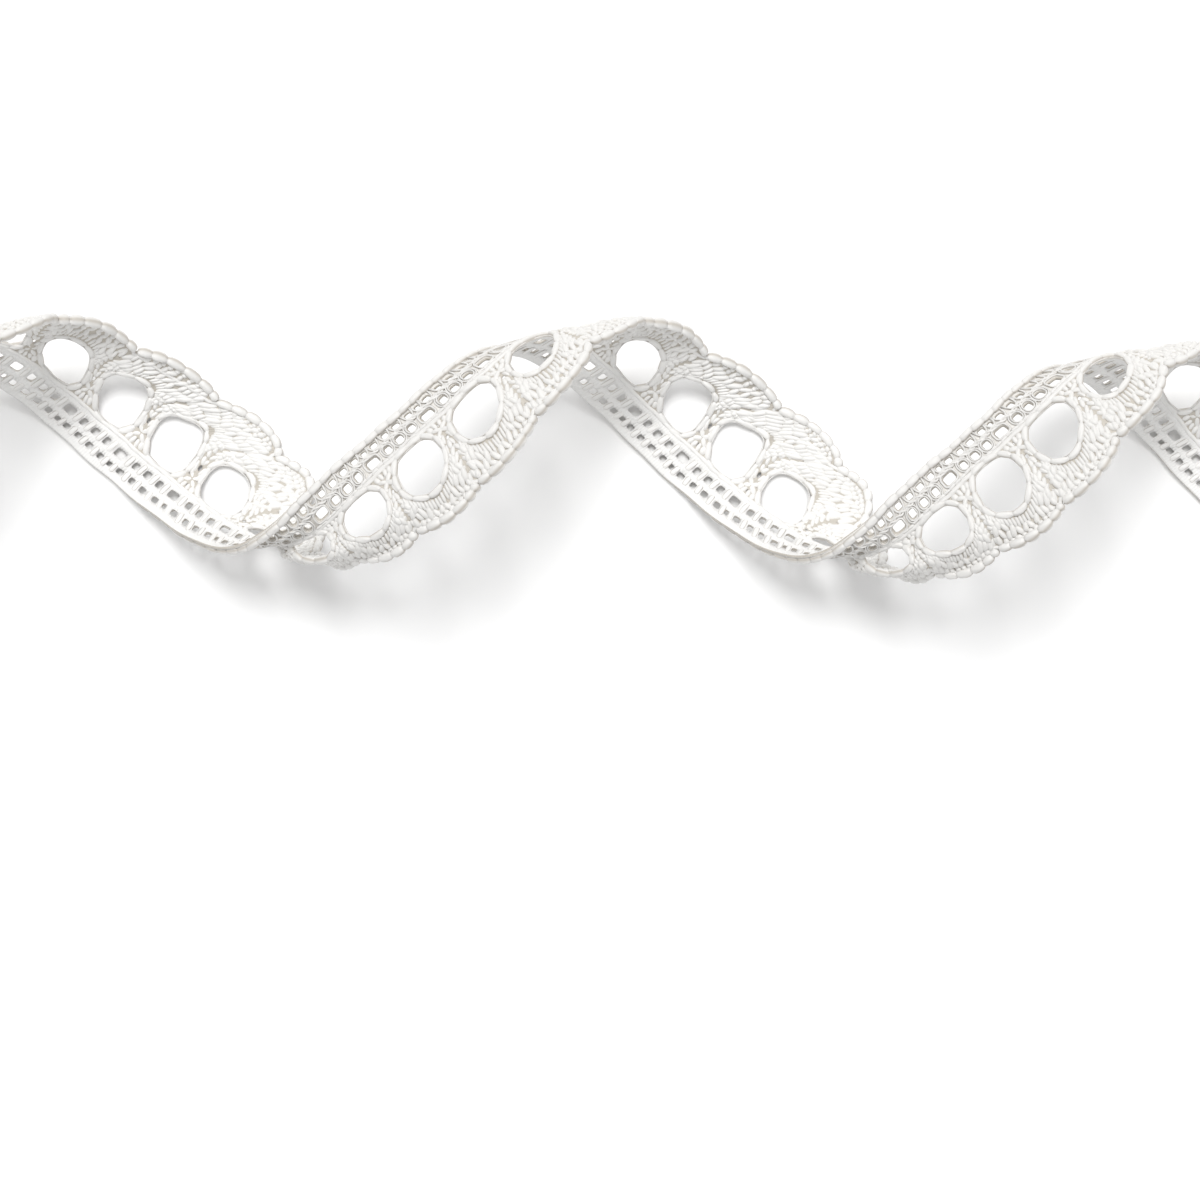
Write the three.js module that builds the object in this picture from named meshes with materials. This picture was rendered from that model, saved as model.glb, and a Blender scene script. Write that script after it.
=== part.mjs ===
// A length of scalloped guipure lace edging, lying on a surface in a loose coil.
// Millimetres, +Z up. The coil's axis runs along X, the straight edge leads on the -X side
// and the scallops on the +X side, and the underside of every turn is pressed flat at Z = 0.

import * as THREE from 'three';

// The lace itself: sizes across the strip are measured from its straight edge.
const laceWidth = 25.6;
const repeatLength = 13.7;
const notchAcross = 22.2;
const scallopRoundness = 0.75;
const firstRepeat = -3;
const lastRepeat = 24;

// The big opening of each repeat: squarer towards the straight edge, round towards the scallop.
const holeMiddle = 13.2;
const holeHalfLength = 4.75;
const holeTowardsEdge = 5.0;
const holeTowardsScallop = 5.0;
const holeSquareness = 3.0;
const holeRoundness = 2.1;

// Thickness of the web and of the raised cords, measured through the lace.
const webThickness = 1.1;
const holeCordThickness = 1.7;
const postThickness = 1.4;
const rimCordThickness = 1.7;
const webRingShare = 0.45;

// Lengthwise rows of the heading, from the straight edge to the beaded cord above the openings.
const headingRows = [
  { across: 0.0, thickness: 1.2 },
  { across: 0.8, thickness: 1.7 },
  { across: 2.6, thickness: 1.0 },
  { across: 3.8, thickness: 1.5 },
  { across: 5.4, thickness: 1.0 },
  { across: 7.6, thickness: 1.8 },
];
const headingColumns = 5;
const postSteps = 4;
const rimSteps = 7;

// The coil: one turn takes eleven repeats, each repeat advances a little less along the axis
// than the one before it, and the axis bows gently along the way.
const repeatsPerTurn = 11;
const advancePerRepeat = 9.71;
const advanceLoss = 0.019;
const edgeStart = 2.16;
const startRepeat = 3.74;
const axisBow = 2.38;
const axisBowLength = 108;
const axisBowMiddle = 55;

// Lines across the lace and how each lies in the coil at the four quarters of a turn:
// underneath, at the front, on top and at the back. Each has its radius round the axis, its
// reach along the axis and the angle by which it lags behind the straight edge. On top of the
// coil the lace leans in and looks narrow. Underneath it spreads out on the table.
const acrossLines = [
  {
    across: 0.0,
    radius: [16.0, 18.4, 13.7, 17.1],
    reach: [-1.3, 1.5, 0.2, -0.7],
    lag: [0.0, 0.0, 0.0, 0.0],
  },
  {
    across: 7.6,
    radius: [15.0, 17.4, 15.0, 20.5],
    reach: [4.5, 4.9, 4.8, 6.3],
    lag: [0.32, 0.42, 0.29, 0.2],
  },
  {
    across: 18.0,
    radius: [15.0, 20.4, 19.2, 22.4],
    reach: [12.0, 8.0, 10.2, 10.5],
    lag: [0.83, 0.51, 0.69, 0.55],
  },
  {
    across: 22.2,
    radius: [18.5, 20.7, 20.0, 23.3],
    reach: [22.5, 9.9, 13.5, 13.6],
    lag: [0.76, 0.74, 0.89, 0.66],
  },
  {
    across: 25.6,
    radius: [17.0, 21.6, 21.3, 23.3],
    reach: [24.7, 11.4, 15.0, 15.9],
    lag: [0.85, 0.83, 0.86, 0.79],
  },
];

// The weight of the lace presses each turn flat where it lies.
const pressDepth = 0.8;
const restHeight = 0.9;
const flatLimit = 0.5;

// The middle of the finished coil's box, brought over the origin.
const coilMiddle = { x: 109.53, y: -0.51 };

// The slope of a value between two neighbouring lines across the lace.
function slopeAfter(valueAt, line) {
  const rise = valueAt(acrossLines[line + 1]) - valueAt(acrossLines[line]);
  return rise / (acrossLines[line + 1].across - acrossLines[line].across);
}

// The slope at a line: the neighbours' slopes, the nearer one counting more.
function slopeAt(valueAt, line) {
  if (line === 0) return slopeAfter(valueAt, 0);
  if (line === acrossLines.length - 1) return slopeAfter(valueAt, line - 1);
  const before = acrossLines[line].across - acrossLines[line - 1].across;
  const after = acrossLines[line + 1].across - acrossLines[line].across;
  const sum = slopeAfter(valueAt, line - 1) * after + slopeAfter(valueAt, line) * before;
  return sum / (before + after);
}

// A value of the table at any distance across the lace, on a smooth curve through its lines.
function valueAcross(valueAt, across) {
  let line = 0;
  while (line < acrossLines.length - 2 && across > acrossLines[line + 1].across) line += 1;
  const [low, high] = [acrossLines[line], acrossLines[line + 1]];
  const span = high.across - low.across;
  const s = (across - low.across) / span;
  const rise = s * s * (3 - 2 * s);
  const leave = s * (1 - s) ** 2 * span;
  const arrive = -s * s * (1 - s) * span;
  return valueAt(low) + (valueAt(high) - valueAt(low)) * rise
    + slopeAt(valueAt, line) * leave + slopeAt(valueAt, line + 1) * arrive;
}

// How much each quarter counts at an angle of the turn: the four shares add up to one.
function quarterShares(turn) {
  const [forward, upward] = [Math.cos(turn), Math.sin(turn)];
  return [
    Math.min(upward, 0) ** 2,
    Math.max(forward, 0) ** 2,
    Math.max(upward, 0) ** 2,
    Math.min(forward, 0) ** 2,
  ];
}

// A value of the table at a distance across the lace and an angle of the turn.
function coilValue(key, across, turn) {
  const shares = quarterShares(turn);
  return valueAcross((line) => {
    const parts = line[key].map((value, quarter) => value * shares[quarter]);
    return parts.reduce((sum, part) => sum + part, 0);
  }, across);
}

// The middle of a line's four lags, near enough to tell which quarter a place is in.
function middleLag(across) {
  return valueAcross(({ lag }) => (lag[0] + lag[1] + lag[2] + lag[3]) / 4, across);
}

// Where a place on the flat lace lies on the coil's middle surface. Places run along the
// strip in repeats and across it in millimetres.
function coilPoint(along, across) {
  const edgeTurn = (2 * Math.PI * (along - startRepeat)) / repeatsPerTurn;
  const turn = edgeTurn - coilValue('lag', across, edgeTurn - middleLag(across));
  const advance = along * (advancePerRepeat - advanceLoss * along);
  const x = edgeStart + advance + coilValue('reach', across, turn);
  const axisY = -axisBow * ((x - axisBowMiddle) / axisBowLength) ** 2;
  const radius = coilValue('radius', across, turn);
  const y = axisY - radius * Math.cos(turn);
  const z = Math.max(radius * (1 + Math.sin(turn)) - pressDepth, 0) + restHeight;
  return new THREE.Vector3(x, y, z);
}

// The direction through the lace at that place, pointing out of the coil.
function coilNormal(along, across) {
  const step = 0.02;
  const lengthwise = coilPoint(along + step, across).sub(coilPoint(along - step, across));
  const crosswise = coilPoint(along, across + step).sub(coilPoint(along, across - step));
  return crosswise.cross(lengthwise).normalize();
}

// The scalloped edge: how far the lace reaches across at a place within one repeat.
function rimAcross(place) {
  const swell = Math.cos(Math.PI * place) ** scallopRoundness;
  return notchAcross + (laceWidth - notchAcross) * Math.max(swell, 0);
}

// The edge of the big opening, seen from its middle in the direction of a given point.
function holeEdge(lengthwise, crosswise) {
  const angle = Math.atan2(crosswise, lengthwise);
  const half = crosswise < 0 ? holeTowardsEdge : holeTowardsScallop;
  const power = crosswise < 0 ? holeSquareness : holeRoundness;
  const sum = Math.abs(Math.cos(angle) / holeHalfLength) ** power
    + Math.abs(Math.sin(angle) / half) ** power;
  const radius = sum ** (-1 / power);
  return { lengthwise: radius * Math.cos(angle), crosswise: radius * Math.sin(angle) };
}

// The flat pattern is a net of places, each with its own thickness, shared by its triangles.
class FlatPattern {
  constructor() {
    this.places = [];
    this.byName = new Map();
    this.triangles = [];
  }

  place(along, across, thickness) {
    const name = `${along.toFixed(4)} ${across.toFixed(4)}`;
    if (!this.byName.has(name)) {
      this.byName.set(name, this.places.length);
      this.places.push({ along, across, thickness });
    }
    return this.byName.get(name);
  }

  quad(a, b, c, d) {
    this.triangles.push([a, b, c], [a, c, d]);
  }
}

// The heading: straight rows from the edge to the beaded cord.
function addHeading(pattern, repeat) {
  for (let row = 0; row + 1 < headingRows.length; row += 1) {
    const low = headingRows[row];
    const high = headingRows[row + 1];
    for (let column = 0; column < headingColumns; column += 1) {
      const left = repeat - 0.5 + column / headingColumns;
      const right = repeat - 0.5 + (column + 1) / headingColumns;
      pattern.quad(
        pattern.place(left, low.across, low.thickness),
        pattern.place(right, low.across, low.thickness),
        pattern.place(right, high.across, high.thickness),
        pattern.place(left, high.across, high.thickness),
      );
    }
  }
}

// The outline round one opening's share of the lace, anticlockwise from its lower left corner.
function repeatOutline() {
  const cord = headingRows[headingRows.length - 1];
  const outline = [];
  for (let i = 0; i < headingColumns; i += 1) {
    outline.push({ place: -0.5 + i / headingColumns, across: cord.across, thickness: cord.thickness });
  }
  const postStep = (notchAcross - cord.across) / postSteps;
  for (let i = 0; i < postSteps; i += 1) {
    const thickness = i === 0 ? cord.thickness : postThickness;
    outline.push({ place: 0.5, across: cord.across + i * postStep, thickness });
  }
  for (let i = 0; i <= rimSteps; i += 1) {
    const place = 0.5 - i / rimSteps;
    outline.push({ place, across: rimAcross(place), thickness: rimCordThickness });
  }
  for (let i = postSteps - 1; i > 0; i -= 1) {
    outline.push({ place: -0.5, across: cord.across + i * postStep, thickness: postThickness });
  }
  return outline;
}

// The lace round one opening: a raised cord at the opening, a thinner web, and the rim.
function addOpening(pattern, repeat, outline) {
  const rings = outline.map(({ place, across, thickness }) => {
    const outer = { lengthwise: place * repeatLength, crosswise: across - holeMiddle };
    const inner = holeEdge(outer.lengthwise, outer.crosswise);
    const between = (key) => inner[key] + webRingShare * (outer[key] - inner[key]);
    const at = (lengthwise, crosswise, thick) => pattern.place(
      repeat + lengthwise / repeatLength, holeMiddle + crosswise, thick);
    return [
      at(inner.lengthwise, inner.crosswise, holeCordThickness),
      at(between('lengthwise'), between('crosswise'), webThickness),
      pattern.place(repeat + place, across, thickness),
    ];
  });
  for (let i = 0; i < rings.length; i += 1) {
    const next = rings[(i + 1) % rings.length];
    for (let ring = 0; ring < 2; ring += 1) {
      pattern.quad(rings[i][ring], rings[i][ring + 1], next[ring + 1], next[ring]);
    }
  }
}

// Both faces of the pattern laid on the coil, with walls along every edge that has one side.
function solidFromPattern(pattern) {
  const positions = [];
  for (const side of [1, -1]) {
    for (const { along, across, thickness } of pattern.places) {
      const point = coilPoint(along, across);
      point.addScaledVector(coilNormal(along, across), (side * thickness) / 2);
      const z = point.z < flatLimit ? 0 : point.z;
      positions.push(point.x - coilMiddle.x, point.y - coilMiddle.y, z);
    }
  }
  const count = pattern.places.length;
  const indices = [];
  const edges = new Map();
  for (const [a, b, c] of pattern.triangles) {
    indices.push(a, c, b, a + count, b + count, c + count);
    for (const [from, to] of [[a, b], [b, c], [c, a]]) {
      const twin = `${to} ${from}`;
      if (edges.has(twin)) {
        edges.delete(twin);
      } else {
        edges.set(`${from} ${to}`, [from, to]);
      }
    }
  }
  for (const [from, to] of edges.values()) {
    indices.push(from, to, to + count, from, to + count, from + count);
  }
  const geometry = new THREE.BufferGeometry();
  geometry.setAttribute('position', new THREE.Float32BufferAttribute(positions, 3));
  geometry.setIndex(indices);
  geometry.computeVertexNormals();
  return geometry;
}

function makeLaceStrip() {
  const pattern = new FlatPattern();
  const outline = repeatOutline();
  for (let repeat = firstRepeat; repeat <= lastRepeat; repeat += 1) {
    addHeading(pattern, repeat);
    addOpening(pattern, repeat, outline);
  }
  const thread = new THREE.MeshStandardMaterial({
    color: new THREE.Color(0.86, 0.85, 0.83),
    roughness: 0.75,
    metalness: 0,
  });
  const strip = new THREE.Mesh(solidFromPattern(pattern), thread);
  strip.name = 'lace_strip';
  return strip;
}

const laceTrim = new THREE.Group();
laceTrim.add(makeLaceStrip());

export default laceTrim;
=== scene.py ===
import math

import bmesh
import bpy
import numpy as np
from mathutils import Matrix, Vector
from mathutils.geometry import delaunay_2d_cdt


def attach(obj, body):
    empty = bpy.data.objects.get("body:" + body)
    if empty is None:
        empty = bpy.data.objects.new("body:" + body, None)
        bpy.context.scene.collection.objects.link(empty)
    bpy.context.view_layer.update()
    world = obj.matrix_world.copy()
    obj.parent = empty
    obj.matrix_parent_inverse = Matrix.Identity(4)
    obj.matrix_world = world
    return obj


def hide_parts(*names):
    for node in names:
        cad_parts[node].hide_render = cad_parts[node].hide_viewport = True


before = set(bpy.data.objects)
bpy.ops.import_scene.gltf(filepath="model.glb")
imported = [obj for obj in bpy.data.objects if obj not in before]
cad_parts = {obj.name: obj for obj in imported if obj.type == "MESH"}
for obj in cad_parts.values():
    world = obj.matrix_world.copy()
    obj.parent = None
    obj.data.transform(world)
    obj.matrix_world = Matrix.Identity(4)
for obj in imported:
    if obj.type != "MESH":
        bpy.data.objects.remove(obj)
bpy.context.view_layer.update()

millimetre = 0.001
chance = np.random.default_rng(11)  # every small irregularity is drawn from here

# The lace is charted flat, in millimetres: lengthwise along the strip from the middle of the
# first opening, across from the straight edge, and height towards the face that shows outside
# the coil. layOnCoil turns charted places into places on the coil, in metres.
laceSize = {
    "repeatLength": 13.7,
    "firstRepeat": -3,
    "lastRepeat": 24,
    "width": 25.6,
    "notchAcross": 22.2,
    "scallopRoundness": 0.75,
    "unevenness": 0.09,
}

coilSize = {
    "repeatsPerTurn": 11,
    "advancePerRepeat": 9.71,
    "advanceLoss": 0.019,
    "edgeStart": 2.16,
    "startRepeat": 3.74,
    "axisBow": 2.38,
    "axisBowLength": 108,
    "axisBowMiddle": 55,
    "pressDepth": 0.8,
    "pressSoftness": 0.3,
    "restHeight": 0.9,
    "middleX": 109.53,
    "middleY": -0.51,
}

# Lines across the lace, from the straight edge to the scallops, at the four quarters of a
# turn: underneath, at the front, on top and at the back. How far each line lies from the
# coil's axis, how far it is carried along the coil and how far it lags behind the edge.
coilLines = {
    "across": (0.0, 7.6, 18.0, 22.2, 25.6),
    "radius": {
        "under": (16.0, 15.0, 15.0, 18.5, 17.0),
        "front": (18.4, 17.4, 20.4, 20.7, 21.6),
        "top": (13.7, 15.0, 19.2, 20.0, 21.3),
        "back": (17.1, 20.5, 22.4, 23.3, 23.3),
    },
    "reach": {
        "under": (-1.3, 4.5, 12.0, 22.5, 24.7),
        "front": (1.5, 4.9, 8.0, 9.9, 11.4),
        "top": (0.2, 4.8, 10.2, 13.5, 15.0),
        "back": (-0.7, 6.3, 10.5, 13.6, 15.9),
    },
    "lag": {
        "under": (0.0, 0.32, 0.83, 0.76, 0.85),
        "front": (0.0, 0.42, 0.51, 0.74, 0.83),
        "top": (0.0, 0.29, 0.69, 0.89, 0.86),
        "back": (0.0, 0.2, 0.55, 0.66, 0.79),
    },
}

repeatLength = laceSize["repeatLength"]
repeats = np.arange(laceSize["firstRepeat"], laceSize["lastRepeat"] + 1)
post = repeatLength / 2  # from an opening's middle to the post beside it
stripStart = repeats[0] * repeatLength - post
stripEnd = repeats[-1] * repeatLength + post


def valueAcross(values, across):
    # on a smooth curve through the lines of coilLines
    lines = np.array(coilLines["across"])
    values = np.array(values)
    spans = np.diff(lines)
    rises = np.diff(values) / spans
    slopes = np.empty(len(lines))
    slopes[0], slopes[-1] = rises[0], rises[-1]
    # gentle slopes at the lines: level at a crest, and close to the flatter of two rises
    product = rises[:-1] * rises[1:]
    steepness = np.maximum(np.abs(rises[:-1] + rises[1:]), 1e-9)
    slopes[1:-1] = np.where(product > 0, 2 * product / steepness * np.sign(rises[1:]), 0)
    line = np.clip(np.searchsorted(lines, across, side="right") - 1, 0, len(lines) - 2)
    span = spans[line]
    s = (across - lines[line]) / span
    change = values[line + 1] - values[line]
    leave = s * (1 - s) ** 2 * span * slopes[line]
    arrive = s * s * (1 - s) * span * slopes[line + 1]
    return values[line] + change * s * s * (3 - 2 * s) + leave - arrive


def coilValue(key, across, turn):
    forward, upward = np.cos(turn), np.sin(turn)
    shares = {
        "under": np.minimum(upward, 0) ** 2,
        "front": np.maximum(forward, 0) ** 2,
        "top": np.maximum(upward, 0) ** 2,
        "back": np.minimum(forward, 0) ** 2,
    }
    lines = coilLines[key]
    return sum(valueAcross(lines[quarter], across) * shares[quarter] for quarter in shares)


def coilPoint(lengthwise, across):
    size = coilSize
    along = lengthwise / repeatLength
    edgeTurn = 2 * math.pi * (along - size["startRepeat"]) / size["repeatsPerTurn"]
    middleLag = valueAcross(np.mean(list(coilLines["lag"].values()), axis=0), across)
    turn = edgeTurn - coilValue("lag", across, edgeTurn - middleLag)
    advance = along * (size["advancePerRepeat"] - size["advanceLoss"] * along)
    x = size["edgeStart"] + advance + coilValue("reach", across, turn)
    bow = size["axisBow"] * ((x - size["axisBowMiddle"]) / size["axisBowLength"]) ** 2
    radius = coilValue("radius", across, turn)
    y = -bow - radius * np.cos(turn)
    lifted = radius * (1 + np.sin(turn)) - size["pressDepth"]
    z = (lifted + np.sqrt(lifted**2 + size["pressSoftness"] ** 2)) / 2 + size["restHeight"]
    return np.stack([x - size["middleX"], y - size["middleY"], z], axis=-1)


def layOnCoil(rows):
    # rows: lengthwise, across, the thread's way there, how far to its side, and height. The
    # middle of a thread follows the chart, and its thickness stays as it is.
    lengthwise, across, alongShare, acrossShare, side, height = np.asarray(rows, float).T
    # a slow waver, the same for every thread at a place, so that joined threads stay joined
    waver = laceSize["unevenness"]
    lengthwise = lengthwise + waver * np.sin(0.83 * lengthwise + 0.31 * across)
    across = across + waver * np.sin(0.57 * lengthwise - 0.47 * across + 1.3)
    step = 0.1
    middle = coilPoint(lengthwise, across)
    alongWay = coilPoint(lengthwise + step, across) - coilPoint(lengthwise - step, across)
    acrossWay = coilPoint(lengthwise, across + step) - coilPoint(lengthwise, across - step)
    outward = np.cross(acrossWay, alongWay)
    outward /= np.linalg.norm(outward, axis=1, keepdims=True)
    way = alongWay * alongShare[:, None] + acrossWay * acrossShare[:, None]
    sideways = np.cross(way, outward)
    sideways /= np.linalg.norm(sideways, axis=1, keepdims=True)
    laid = middle + sideways * side[:, None] + outward * height[:, None]
    laid[:, 2] = np.maximum(laid[:, 2], 0.02)
    return laid * millimetre


# Shader maths: a Value wraps a socket, so that an expression on values adds its Math nodes.
class Value:
    def __init__(self, look, socket):
        self.look = look
        self.socket = socket

    def maths(self, operation, *parts):
        inputs = dict(enumerate(parts))
        return self.look.node("ShaderNodeMath", {"operation": operation}, inputs)

    def __add__(self, other):
        return self.maths("ADD", self, other)

    def __radd__(self, other):
        return self.maths("ADD", other, self)

    def __sub__(self, other):
        return self.maths("SUBTRACT", self, other)

    def __rsub__(self, other):
        return self.maths("SUBTRACT", other, self)

    def __mul__(self, other):
        return self.maths("MULTIPLY", self, other)

    def __rmul__(self, other):
        return self.maths("MULTIPLY", other, self)

    def __truediv__(self, other):
        return self.maths("DIVIDE", self, other)

    def __rtruediv__(self, other):
        return self.maths("DIVIDE", other, self)

    def __pow__(self, other):
        return self.maths("POWER", self, other)

    def sine(self):
        return self.maths("SINE", self)


class Look:
    def __init__(self, name):
        self.material = bpy.data.materials.new(name)
        self.material.use_nodes = True
        self.tree = self.material.node_tree
        self.tree.nodes.clear()

    def node(self, kind, settings=None, inputs=None, output=0):
        made = self.tree.nodes.new(kind)
        for name, setting in (settings or {}).items():
            setattr(made, name, setting)
        for name, value in (inputs or {}).items():
            if isinstance(value, Value):
                self.tree.links.new(value.socket, made.inputs[name])
            else:
                made.inputs[name].default_value = value
        return Value(self, made.outputs[output] if made.outputs else None)

    def mix(self, share, first, second):
        # the colour inputs of a Mix node are its seventh and eighth
        settings = {"data_type": "RGBA"}
        return self.node("ShaderNodeMix", settings, {0: share, 6: first, 7: second}, 2)

    def finish(self, shader):
        self.node("ShaderNodeOutputMaterial", None, {"Surface": shader})
        return self.material


threadFinish = {
    # the outer face is painted darker than the inner face: a painted shade for the relief of the outer
    # face
    "outerFaceShadeColour": (0.745, 0.737, 0.722, 1),
    "innerColour": (0.85, 0.844, 0.831, 1),
    # shaded colour: random darker patches of the thread's own tone, and a painted shade in the grooves
    # between strands
    "shadedColour": (0.77, 0.748, 0.712, 1),
    # hollow shade: a painted shade on the flanks of each thread, where the stitches meet
    "hollowShadeColour": (0.47, 0.43, 0.375, 1),
    "hollowShadeShare": 0.8,
    "hollowShadeSharpness": 4.0,
    "roughness": 0.55,
    "sheen": 0.1,
    "strandsRound": 4,
    "twistLength": 2.6,
    "strandDepth": 0.00005,
    "fuzzDepth": 0.00003,
}


def threadLook(name):
    # the strands twist round the thread, and its flanks get a painted shade, darker as in a crevice
    look = Look(name)
    finish = threadFinish
    onThread = look.node("ShaderNodeUVMap", {"uv_map": "thread"})
    split = {"Vector": onThread}
    lengthAlong = look.node("ShaderNodeSeparateXYZ", None, split, 0)
    turnRound = look.node("ShaderNodeSeparateXYZ", None, split, 1)
    twist = turnRound * finish["strandsRound"] + lengthAlong / finish["twistLength"]
    strands = (twist * (2 * math.pi)).sine()
    flank = (turnRound * (2 * math.pi) + math.pi / 2).sine()
    # painted shade: the flanks of each thread are darkened as in a crevice
    flankShade = (flank * flank) ** finish["hollowShadeSharpness"] * finish["hollowShadeShare"]
    place = look.node("ShaderNodeTexCoord", None, None, 3)
    fuzz = look.node("ShaderNodeTexNoise", None, {"Vector": place, "Scale": 2600, "Detail": 3})
    patches = look.node("ShaderNodeTexNoise", None, {"Vector": place, "Scale": 260, "Detail": 2})
    # painted shade: the outer half of each thread gets the darker face colour
    outer = (turnRound * (2 * math.pi)).sine() * 0.5 + 0.5
    thread = look.mix(outer, finish["innerColour"], finish["outerFaceShadeColour"])
    # darker in random patches, the thread's own tone, and along the strand grooves, a painted shade
    shaded = look.mix(patches * 0.4 + strands * 0.06, thread, finish["shadedColour"])
    colour = look.mix(flankShade, shaded, finish["hollowShadeColour"])
    relief = strands * (finish["strandDepth"] / 2) + fuzz * finish["fuzzDepth"]
    bump = look.node("ShaderNodeBump", None, {"Height": relief, "Distance": 1.0, "Strength": 0.8})
    inputs = {
        "Base Color": colour,
        "Roughness": finish["roughness"] + fuzz * 0.12 - 0.06,
        "Normal": bump,
        "Sheen Weight": finish["sheen"],
    }
    return look.finish(look.node("ShaderNodeBsdfPrincipled", None, inputs))


innerChart = 40  # how far the inner face's chart is moved across, to tell it from the outer

clothFinish = {
    "innerColour": (0.835, 0.829, 0.815, 1),
    # the heading's outer face is painted darker than its inner face: a painted shade for its relief
    "headingFaceShadeColour": (0.77, 0.752, 0.72, 1),
    # shaded colour: a painted shade for the ground cloth seen between the stitches beyond the heading
    "shadedColour": (0.55, 0.515, 0.46, 1),
    "changeAcross": 7.6,
    "roughness": 0.65,
    "ribWidth": 0.55,
    "ribDepth": 0.00006,
}


def clothLook(name):
    # pale ribbed cloth inside the heading, its outer face painted darker as painted shade, and a painted
    # shade for the depth between the stitches beyond the heading
    look = Look(name)
    finish = clothFinish
    chart = look.node("ShaderNodeUVMap", {"uv_map": "thread"})
    lengthwise = look.node("ShaderNodeSeparateXYZ", None, {"Vector": chart}, 0)
    across = look.node("ShaderNodeSeparateXYZ", None, {"Vector": chart}, 1)
    # the chart of the inner face lies beyond that of the outer one
    beyond = {0: across, 1: innerChart}
    inner = look.node("ShaderNodeMath", {"operation": "GREATER_THAN"}, beyond)
    chartAcross = across - inner * innerChart
    beyond = {0: chartAcross, 1: finish["changeAcross"]}
    scallop = look.node("ShaderNodeMath", {"operation": "GREATER_THAN"}, beyond)
    place = look.node("ShaderNodeTexCoord", None, None, 3)
    fuzz = look.node("ShaderNodeTexNoise", None, {"Vector": place, "Scale": 2200, "Detail": 3})
    ribs = (lengthwise * (2 * math.pi / finish["ribWidth"])).sine()
    # painted shade: the outer face of the heading gets the darker colour
    heading = look.mix(inner, finish["headingFaceShadeColour"], finish["innerColour"])
    # painted shade: beyond the heading the ground cloth, seen only between the stitches, is painted dark
    colour = look.mix(scallop, heading, finish["shadedColour"])
    relief = ribs * (finish["ribDepth"] / 2) + fuzz * (finish["ribDepth"] / 2)
    bump = look.node("ShaderNodeBump", None, {"Height": relief, "Distance": 1.0, "Strength": 0.8})
    inputs = {"Base Color": colour, "Roughness": finish["roughness"], "Normal": bump}
    return look.finish(look.node("ShaderNodeBsdfPrincipled", None, inputs))


# Pieces are built from arrays of charted places, faces with four or three corners, and the
# place of each corner on its thread: millimetres along it, and the share of a turn round it.
class Threads:
    def __init__(self):
        self.places = []
        self.quads = []
        self.triangles = []
        self.quadTurns = []
        self.triangleTurns = []
        self.count = 0

    def add(self, places, quads, triangles, quadTurns, triangleTurns):
        self.places.append(np.asarray(places, float).reshape(-1, 6))
        self.quads.append(np.asarray(quads, int).reshape(-1, 4) + self.count)
        self.triangles.append(np.asarray(triangles, int).reshape(-1, 3) + self.count)
        self.quadTurns.append(np.asarray(quadTurns, float).reshape(-1, 4, 2))
        self.triangleTurns.append(np.asarray(triangleTurns, float).reshape(-1, 3, 2))
        self.count += len(self.places[-1])

    def make(self, name, look):
        points = layOnCoil(np.concatenate(self.places))
        quads, triangles = np.concatenate(self.quads), np.concatenate(self.triangles)
        quadTurns = np.concatenate(self.quadTurns)
        triangleTurns = np.concatenate(self.triangleTurns)
        if enclosed(points, quads, triangles) < 0:  # the faces look inwards
            quads, triangles = quads[:, ::-1], triangles[:, ::-1]
            quadTurns, triangleTurns = quadTurns[:, ::-1], triangleTurns[:, ::-1]
        corners = np.concatenate([quads.ravel(), triangles.ravel()])
        turns = np.concatenate([quadTurns.reshape(-1, 2), triangleTurns.reshape(-1, 2)])
        sizes = np.concatenate([np.full(len(quads), 4), np.full(len(triangles), 3)])
        mesh = bpy.data.meshes.new(name)
        mesh.vertices.add(len(points))
        mesh.vertices.foreach_set("co", points.ravel())
        mesh.loops.add(len(corners))
        mesh.loops.foreach_set("vertex_index", corners.astype(np.int32))
        mesh.polygons.add(len(sizes))
        mesh.polygons.foreach_set("loop_start", (np.cumsum(sizes) - sizes).astype(np.int32))
        mesh.update(calc_edges=True)
        mesh.uv_layers.new(name="thread").data.foreach_set("uv", turns.ravel())
        mesh.shade_smooth()
        mesh.materials.append(look)
        piece = bpy.data.objects.new(name, mesh)
        bpy.context.scene.collection.objects.link(piece)
        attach(piece, "root")
        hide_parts("lace_strip")
        print(name, len(quads) * 2 + len(triangles), "triangles")
        return piece


def enclosed(points, quads, triangles):
    halves = np.concatenate([quads[:, [0, 1, 2]], quads[:, [0, 2, 3]], triangles])
    a, b, c = points[halves[:, 0]], points[halves[:, 1]], points[halves[:, 2]]
    return np.einsum("ij,ij->", a, np.cross(b, c)) / 6


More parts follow.
